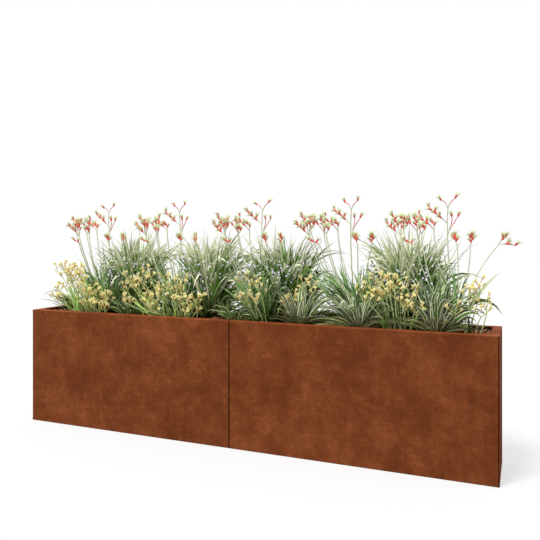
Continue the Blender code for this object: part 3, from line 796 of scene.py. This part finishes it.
class PLANTER_OT_fill_box(Operator):
    """Finish the gravel, the liner and the soil, and strew bark over it"""

    bl_idname = "planter.fill_box"
    bl_label = "Fill the Box"

    def execute(self, context):
        look = context.scene.planter_filling
        bark = bark_finish(look)
        coated(["drainage_gravel"], gravel_finish())
        coated(["filter_liner"], cloth_finish())
        coated(["soil"], bark)
        rng = random.Random(11)
        moulds = chip_moulds(rng)
        margin = 0.02
        pieces = [crust()]
        for _ in range(look.chips):
            length = look.chip * rng.choice((0.5, 0.7, 0.9, 1.0, 1.2, 1.6))
            x = rng.uniform(SOIL_LOW.x + margin, SOIL_HIGH.x - margin)
            y = rng.uniform(SOIL_LOW.y + margin, SOIL_HIGH.y - margin)
            at = (x, y, SOIL_HIGH.z + rng.uniform(0.007, 0.014))
            heading = Vector((rng.gauss(0, 0.25), rng.gauss(0, 0.25), 1))
            pieces.append(placed(rng, rng.choice(moulds), at, heading, length))
        new_piece("bark_mulch", joined("bark_mulch", pieces), [bark], "potting_soil")
        return {"FINISHED"}


# --- Plants ---


def plant_piece(node, meshes, materials, slot):
    """The finished plant, in place of its plain solid."""
    new_piece(f"{node}_growth", joined(node, meshes), materials, slot, node)


# Each strap lily: its share of the green leaves in its middle, how far its tall leaves reach to the sides, and
# how far right of its foot they stand.
STRAP_LILIES = ((0.35, 0.27, -0.05), (0.15, 0.29, 0.0), (1.9, 0.33, 0.0), (0.7, 0.29, -0.02))
STARS = 10  # flowers on one thin stem


class PLANTER_OT_grow_strap_lilies(Operator):
    """Grow the large clumps of strap leaves with small violet flowers"""

    bl_idname = "planter.grow_strap_lilies"
    bl_label = "Grow Strap Lilies"

    def execute(self, context):
        look = context.scene.planter_strap_lily
        surfaces = [
            leaf_finish("strap_leaf", look.foot, look.blade, look.pale, margin=0.85, palest=0.88),
            leaf_finish("low_strap_leaf", look.foot, look.shaded, look.pale, margin=0.85, palest=1.3),
            flower_finish("violet_petal", look.petal, look.petal, change=0.5),
            # the core leaves are darker all along: painted shade inside the clump
            leaf_finish("shaded_core_strap_leaf", linear(22, 34, 12), linear(76, 118, 36), linear(128, 164, 76), palest=1.3),
        ]
        blade = blade_mould(9)
        low_blade = blade_mould(9, surface=1)
        core_blade = blade_mould(9, surface=3)
        stem = rod(4, 6)
        star = star_flower(surface=2)
        high, wide = look.height, look.width
        for (node, rng, foot), (share, sides, shift) in zip(plants(200, "strap_lily"), STRAP_LILIES):
            foot = foot + Vector((shift, 0, 0))
            tall, core = round(look.leaves * (1.4 - 0.4 * share)), round(look.core * share)
            layers = (
                (blade, Tuft(tall, high, wide, (sides, 0.27, 0.18), 0.05, 0.25, (0, 0.9), 0.5)),
                (core_blade, Tuft(core, high * 0.8, wide * 1.1, (sides * 0.75, 0.2, 0.16), 0.07, 0.25, (0, 0.8), 0.5)),
                (low_blade, Tuft(look.skirt, high * 0.6, wide * 0.8, (0.33, 0.24, 0.17), 0.1, 0.45, (0.3, 1), 0.3)),
                (blade, Tuft(10, high * 0.8, wide * 1.2, (0.33, 0.26, 0.15), 0.03, 0.3, (0.6, 1), 0.6, roll=0.6)),
                (blade, Tuft(look.leaves // 2, high, wide * 0.7, (sides, 0.24, 0.18), 0.05, 0.14, (0, 0.7), 0.8)),
            )
            pieces = grown(rng, foot, layers)
            for _ in range(look.flowers // STARS):
                pieces += violet_spray(rng, foot, stem, star)
            plant_piece(node, pieces, surfaces, "strap_lily_leaf")
        return {"FINISHED"}


def violet_spray(rng, foot, stem, star):
    """A thin stem among the front leaves, with small flowers all about its upper half."""
    bearing = rng.uniform(0, math.tau)
    out = Vector((math.cos(bearing) * 0.28, -0.14 - 0.1 * abs(math.sin(bearing)), 0))
    curve = leaf_curve(foot, out * rng.uniform(0.5, 1), rng.uniform(0.36, 0.54), 0.2)
    made = [round_stem(rng, stem, curve, 0.001, 0.5)]
    for number in range(STARS):
        at = on_curve(curve, 0.45 + 0.5 * number / STARS)
        at = at + Vector([rng.gauss(0, 0.05), rng.gauss(-0.03, 0.02), rng.gauss(0, 0.03)])
        heading = (rng.gauss(0, 0.6), -0.8 + rng.gauss(0, 0.5), 0.5)
        made.append(placed(rng, star, at, heading, rng.uniform(0.007, 0.0095), spun=False))
    return made


# Stems of a red kangaroo paw: how far back each stands, then its top, sideways from the foot and over it, and its
# branches. A branch has the share of the stem where it leaves, its bend and its tip, and its number of flowers.
RED_STEMS = (
    (
        (0.03, -0.315, 0.57),
        (1, -0.36, 0.61, -0.39, 0.66, 6),
        (1, -0.335, 0.66, -0.36, 0.71, 5),
        (0.97, -0.31, 0.66, -0.3, 0.69, 5),
    ),
    ((-0.04, -0.28, 0.6), (1, -0.285, 0.66, -0.265, 0.685, 4), (1, -0.25, 0.635, -0.25, 0.665, 2)),
    (
        (0.02, -0.213, 0.59),
        (1, -0.235, 0.625, -0.25, 0.655, 1),
        (1, -0.21, 0.64, -0.225, 0.69, 4),
        (0.97, -0.2, 0.68, -0.2, 0.71, 2),
    ),
    ((-0.05, -0.175, 0.575), (1, -0.185, 0.6, -0.185, 0.625, 1), (1, -0.15, 0.61, -0.16, 0.635, 3)),
    ((-0.02, -0.11, 0.6), (1, -0.15, 0.65, -0.175, 0.68, 4), (0.97, -0.105, 0.64, -0.115, 0.665, 3)),
    (
        (0.02, -0.035, 0.725),
        (0.88, -0.09, 0.69, -0.14, 0.745, 6),
        (1, -0.05, 0.77, -0.07, 0.79, 1),
        (1, -0.02, 0.765, 0.005, 0.8, 1),
        (0.8, -0.005, 0.65, -0.012, 0.695, 1),
        (0.8, 0.005, 0.65, 0.022, 0.695, 1),
    ),
    ((-0.05, 0.025, 0.51), (1, 0.01, 0.55, 0.01, 0.575, 5)),
    ((0.02, 0.09, 0.5), (1, 0.1, 0.54, 0.1, 0.58, 4)),
    ((-0.08, -0.2, 0.5), (1, -0.235, 0.53, -0.26, 0.555, 3)),
)
# The rightmost plant has one more stem, and two broad leaves that lean out over the end of the box. Each of these
# has its direction, its height, its arch, half its width, its tone and its roll.
RIGHTMOST = nodes_named("red_kangaroo_paw")[-1]
LEANING_STEM = ((0.02, 0.245, 0.515), (1, 0.26, 0.55, 0.28, 0.58, 3), (1, 0.285, 0.52, 0.33, 0.53, 3))
PALE_LEAF = ((0.262, -0.15, 0), 0.4, 0.15, 0.014, 0.557, 1.0)
DARK_LEAF = ((0.275, -0.16, 0), 0.26, 0.95, 0.013, 0.8, 1.2)
# Each plant: its share of tall leaves, their reach to the sides, and how far right of its foot they stand.
RED_FANS = ((1.0, 0.3, 0.0), (0.6, 0.22, 0.0), (1.1, 0.3, 0.02), (2.0, 0.36, 0.07), (0.5, 0.14, -0.07))


class PLANTER_OT_grow_red_paws(Operator):
    """Grow the tall plants with bare stems and red, green-clawed flowers"""

    bl_idname = "planter.grow_red_paws"
    bl_label = "Grow Red Kangaroo Paws"

    def execute(self, context):
        look = context.scene.planter_red_paw
        surfaces = [
            leaf_finish("paw_leaf", linear(52, 84, 30), look.leaf, linear(216, 226, 192), margin=0.75, palest=1.1),
            stem_finish("paw_stem", look.stem, look.stem),
            stem_finish("paw_branch", look.stem, look.tube, change=0.35, softness=0.5),
            flower_finish("red_flower", look.tube, look.claw, change=0.55),
            # a darker copy of the leaf for the low, arching leaves: painted shade
            leaf_finish("shaded_low_paw_leaf", linear(30, 44, 18), linear(84, 106, 52), linear(190, 200, 150), palest=1.35),
        ]
        blade = blade_mould(8)
        low_blade = blade_mould(8, surface=4)
        pale_blade = blade_mould(8, surface=1)
        stem = rod(6, 10, surface=1)
        branch = rod(5, 5, surface=2)
        flower = paw_flower(3, tube=0.52, bulge=0.16, mouth=0.15, lobe=0.5, lobe_width=0.3)
        high, wide = look.height, look.width
        for (node, rng, foot), (share, sides, shift) in zip(plants(300, "red_kangaroo_paw"), RED_FANS):
            tall = round(look.leaves * share)
            layers = (
                (blade, Tuft(tall, high, wide, (sides, 0.18, 0.16), 0.08, 0.15, (0, 0.6), 0.55)),
                (low_blade, Tuft(look.skirt, high * 0.55, wide, (sides, 0.22, 0.18), 0.1, 0.4, (0.3, 1), 0.3)),
            )
            pieces = grown(rng, foot + Vector((shift, 0, 0)), layers)
            for (back, *top), *branches in RED_STEMS + ((LEANING_STEM,) if node == RIGHTMOST else ()):
                curve = stem_curve(rng, foot, back, top, lean=0.45 if top[0] > 0.2 else 0.86)
                pieces.append(round_stem(rng, stem, curve, 0.0046, 0.7))
                for along, *points, flowers in branches:
                    bend, tip = (foot + Vector((points[at], back, points[at + 1])) for at in (0, 2))
                    pieces += red_spray(rng, on_curve(curve, along), bend, tip, flowers, look.flower, branch, flower)
            lean_back = 0.02 if node == RIGHTMOST else -0.08
            for _ in range(9):
                out = Vector((rng.uniform(-0.3, 0.03), lean_back, 0))
                curve = leaf_curve(foot, out, rng.uniform(0.38, 0.58), 0.1)
                pieces.append(leaf(rng, blade, curve, width=0.01, roll=0.2))
            if node == RIGHTMOST:
                for mould, (out, rise, arch, *measures) in ((pale_blade, PALE_LEAF), (low_blade, DARK_LEAF)):
                    curve = leaf_curve(foot, Vector(out), rise, arch)
                    pieces.append(flat_leaf(mould, curve, (0, 1, 0), *measures))
            plant_piece(node, pieces, surfaces, "red_kangaroo_paw")
        return {"FINISHED"}


def stem_curve(rng, foot, back, top, lean):
    """The middle of a stem from the foot to its top. lean is how much of its way out it makes in its lower part."""
    across, rise = top
    start = foot + Vector((across * 0.12 + rng.uniform(-0.03, 0.03), back * 0.3, 0))
    low = foot + Vector((across * lean * 0.45 + rng.uniform(-0.02, 0.02), back * 0.4, rise * 0.3))
    high = foot + Vector((across * lean + rng.uniform(-0.02, 0.02), back * 0.8, rise * 0.66))
    return (start, low, high, foot + Vector((across, back, rise)))


def red_spray(rng, fork, bend, tip, flowers, length, branch, flower):
    """A branch from its fork to its tip, with flowers in turn on its two sides."""
    end = tip - Vector((0, 0, length * 0.5))
    way = (fork, fork.lerp(bend, 0.7), bend.lerp(end, 0.3), end)
    made = [round_stem(rng, branch, way, 0.0032, 0.7)]
    for number in range(flowers):
        at = on_curve(way, 1 - 0.85 * number / flowers)
        sideways = 0 if number == 0 else (-1) ** number
        heading = (end - bend).normalized() * 0.5 + Vector((0.75 * sideways, rng.uniform(-0.7, 0.2), 0.65))
        made.append(placed(rng, flower, at, heading.normalized(), length * rng.uniform(0.9, 1.12)))
    return made


# Each yellow kangaroo paw: where it is highest, from its left end, -1, to its right end, 1, the height of its
# lowest stems as a share of the highest, and its numbers of flower stems and of leaves.
YELLOW_PAWS = (
    (-0.8, 0.15, 34, 46),
    (-0.5, 0.15, 31, 50),
    (0.2, 0.3, 6, 10),
    (0.2, 0.6, 4, 4),
    (-0.2, 0.5, 18, 22),
    (0.2, 0.45, 6, 4),
)


class PLANTER_OT_grow_yellow_paws(Operator):
    """Grow the low plants with many small yellow flowers"""

    bl_idname = "planter.grow_yellow_paws"
    bl_label = "Grow Yellow Kangaroo Paws"

    def execute(self, context):
        look = context.scene.planter_yellow_paw
        surfaces = [
            leaf_finish("yellow_paw_leaf", linear(150, 182, 98), look.leaf, linear(222, 232, 172)),
            stem_finish("yellow_paw_stem", look.stem, look.stem),
            flower_finish("yellow_flower", look.base, look.petal, change=0.2),
            stem_finish("yellow_paw_twig", linear(214, 214, 140), linear(214, 140, 72), change=0.9),
            leaf_finish("shaded_paw_leaf", linear(44, 66, 26), linear(104, 140, 66), linear(190, 206, 140)),
        ]
        blade = blade_mould(7)
        shaded_blade = blade_mould(7, surface=4)
        stem = rod(5, 8, surface=1)
        twig = rod(4, 3, surface=3)
        flower = paw_flower(2, tube=0.5, bulge=0.15, mouth=0.17, lobe=0.48, lobe_width=0.38)
        for (node, rng, foot), (peak, lowest, stems, leaves) in zip(plants(400, "yellow_kangaroo_paw"), YELLOW_PAWS):
            low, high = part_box(node)
            width, height = high.x - low.x, high.z - foot.z
            reach = (width * 0.2, 0.08, 0.1)
            grass = Tuft(leaves, height * 0.75, look.width, reach, width * 0.34, 0.3, (0, 0.6), 0.35)
            shaded = width < 0.5  # the small plants stand among larger ones
            pieces = tuft(rng, foot, shaded_blade if shaded else blade, grass)
            middle, half = (low.x + high.x) / 2, width / 2 - 0.02
            for index in range(stems):
                share = -1 + 2 * (index + rng.random()) / stems
                dome = 1 - 0.32 * abs(share - peak) ** 1.5
                rise = height * dome * rng.uniform(lowest, 1.0)
                tip = Vector((middle + half * share, foot.y + rng.uniform(-0.12, -0.02), foot.z + rise))
                start = foot + Vector(((0.24 * share + rng.gauss(0, 0.04)) * width, rng.gauss(-0.01, 0.015), 0))
                pieces += yellow_spray(rng, start, tip, look.flower, stem, twig, flower)
            plant_piece(node, pieces, surfaces, "yellow_kangaroo_paw")
        return {"FINISHED"}


def yellow_spray(rng, start, tip, length, stem, twig, flower):
    """A thin stem with a raceme at its top: short twigs in turn on its two sides, each with a flower at its end."""
    rise = tip.z - start.z
    low = start.lerp(tip, 0.25) + Vector((rng.uniform(-0.04, 0.04), 0, rise * 0.12))
    high = start.lerp(tip, 0.7) + Vector((rng.uniform(-0.05, 0.05), 0, rise * 0.12))
    curve = (start, low, high, tip)
    made = [round_stem(rng, stem, curve, 0.0042, 0.6)]
    up = Vector((0, 0, 0.012))
    for number in range(rng.choice((3, 4, 4, 5))):
        at = on_curve(curve, 1.0 - number * 0.09)
        sideways = (-1) ** number * rng.uniform(0.3, 1.0)
        out = Vector((sideways, rng.uniform(-0.4, 0.3), rng.uniform(0.2, 1.0))).normalized()
        end = at + out * rng.uniform(0.015, 0.045)
        way = (at, at.lerp(end, 0.3), at.lerp(end, 0.7) + up, end + up)
        made.append(round_stem(rng, twig, way, 0.0025))
        heading = (out * 0.8 + Vector((rng.gauss(0, 0.4), rng.gauss(-0.1, 0.25), 0.7))).normalized()
        made.append(placed(rng, flower, end + up, heading, length * rng.uniform(0.8, 1.15)))
    return made


class PLANTER_OT_grow_lilyturfs(Operator):
    """Grow the low clumps of striped leaves and of plain dark leaves"""

    bl_idname = "planter.grow_lilyturfs"
    bl_label = "Grow Lilyturfs"

    def execute(self, context):
        look = context.scene.planter_lilyturf
        stripes = {"palest": 2.0, "edge": 0.12}
        striped = leaf_finish("striped_leaf", linear(38, 42, 17), look.green, look.margin, margin=0.6, **stripes)
        # a darker, duller copy of the striped leaf for the low leaves: painted shade
        shaded_olives = linear(26, 28, 12), linear(94, 104, 50), linear(206, 206, 158)
        shaded_olive = leaf_finish("shaded_low_striped_leaf", *shaded_olives, margin=0.7, **stripes)
        plain = leaf_finish("turf_leaf", linear(34, 48, 20), look.dark, linear(196, 210, 162), palest=1.0)
        blade = blade_mould(9)
        low_blade = blade_mould(9, surface=1)
        wide = look.width
        for node, rng, foot in plants(500, "striped_lilyturf", "green_lilyturf"):
            low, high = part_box(node)
            sides, height = (high.x - low.x) / 2, high.z - foot.z
            front = foot.y + 0.24  # to 40 mm in front of the box
            if node.startswith("striped"):
                reach = (sides * 1.5, front, 0.14)
                tall = Tuft(look.striped, height * 1.25, wide, reach, 0.03, 0.4, (0.4, 0.95), 0.65, 0.7, 0.4, 0.25)
                flat = Tuft(look.low, height * 0.6, wide * 0.56, reach, 0.03, 0.4, (0.6, 1.1), 0.4, 0.7, 0.4, 0.5)
                pieces = grown(rng, foot, ((blade, tall), (low_blade, flat)))
                plant_piece(node, pieces, [striped, shaded_olive], "striped_leaf")
            else:
                grass = Tuft(look.plain, height * 1.1, wide * 0.37, (sides, front, 0.12), 0.05, 0.4, (0.3, 1), 0.4)
                plant_piece(node, tuft(rng, foot, blade, grass), [plain], "green_leaf")
        return {"FINISHED"}


# --- Stage ---


class PLANTER_OT_set_stage(Operator):
    """Add the camera, the lights and the floor"""

    bl_idname = "planter.set_stage"
    bl_label = "Set the Stage"

    def execute(self, context):
        scene = context.scene
        look = scene.planter_stage
        scene.view_settings.view_transform = "Standard"

        camera = bpy.data.cameras.new("camera")
        camera.lens = 39.6
        camera.sensor_width = 36
        camera.shift_x = -0.0313
        camera.shift_y = -0.0591
        scene.camera = put("camera", camera)
        scene.camera.location = (1.7145, -3.526, 1.319)
        scene.camera.rotation_euler = (math.pi / 2, 0, math.radians(21.69))

        sun = bpy.data.lights.new("sun", "SUN")
        sun.energy = look.sun
        sun.angle = math.radians(18)
        to_sun = Vector((-0.24, -0.4, 0.88))
        put("sun", sun).rotation_euler = to_sun.to_track_quat("Z", "Y").to_euler()

        scene.world = bpy.data.worlds.new("sky")
        scene.world.use_nodes = True
        sky = Graph(scene.world.node_tree)
        seen = sky.ray("Camera").larger(sky.ray("Glossy")).larger(sky.ray("Transmission"))
        even, white = (sky.node("ShaderNodeBackground", [(1, 1, 1), strength]) for strength in (look.sky, 1.0))
        shown = sky.node("ShaderNodeMixShader", [seen, even, white])
        sky.plug(sky.tree.nodes["World Output"].inputs["Surface"], shown)
        sky.tree.nodes.remove(sky.tree.nodes["Background"])

        finish = Finish("floor", roughness=0.9, specular=0.0)
        seen = finish.ray("Camera")
        finish.set(Base_Color=finish.mixed(seen, (look.lit_floor,) * 3, (look.seen_floor,) * 3))
        finish.set(Emission_Color=finish.mixed(seen, (0, 0, 0), (0.62, 0.62, 0.62)), Emission_Strength=1.0)
        bm = bmesh.new()
        bmesh.ops.create_grid(bm, x_segments=1, y_segments=1, size=30)
        floor = put("floor", mesh_of(bm, "floor"))
        floor.data.materials.append(finish.material)
        floor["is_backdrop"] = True
        return {"FINISHED"}


# --- The add-on ---

STEPS = (
    PLANTER_OT_finish_box,
    PLANTER_OT_fill_box,
    PLANTER_OT_grow_strap_lilies,
    PLANTER_OT_grow_red_paws,
    PLANTER_OT_grow_yellow_paws,
    PLANTER_OT_grow_lilyturfs,
    PLANTER_OT_set_stage,
)
SETTINGS = {
    "planter_steel": PLANTER_PG_steel,
    "planter_filling": PLANTER_PG_filling,
    "planter_strap_lily": PLANTER_PG_strap_lily,
    "planter_red_paw": PLANTER_PG_red_paw,
    "planter_yellow_paw": PLANTER_PG_yellow_paw,
    "planter_lilyturf": PLANTER_PG_lilyturf,
    "planter_stage": PLANTER_PG_stage,
}


class PLANTER_PT_steps(Panel):
    """The steps that dress the planter, with their settings"""

    bl_idname = "PLANTER_PT_steps"
    bl_label = "Planter"
    bl_space_type = "VIEW_3D"
    bl_region_type = "UI"
    bl_category = "Planter"

    def draw(self, context):
        for step in STEPS:
            self.layout.operator(step.bl_idname)
        for name, group in SETTINGS.items():
            box = self.layout.box()
            for key in group.__annotations__:
                box.prop(getattr(context.scene, name), key)


CLASSES = (*SETTINGS.values(), *STEPS, PLANTER_PT_steps)


def register():
    for cls in CLASSES:
        bpy.utils.register_class(cls)
    for name, group in SETTINGS.items():
        setattr(bpy.types.Scene, name, PointerProperty(type=group))


def unregister():
    for name in SETTINGS:
        delattr(bpy.types.Scene, name)
    for cls in reversed(CLASSES):
        bpy.utils.unregister_class(cls)


def main():
    register()
    for step in STEPS:
        group, name = step.bl_idname.split(".")
        getattr(getattr(bpy.ops, group), name)()
    boxes = {"cad": CAD_BOX, "visual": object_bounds()}
    {name: [list(corner) for corner in box] for name, box in boxes.items()}


if __name__ == "__main__":
    main()
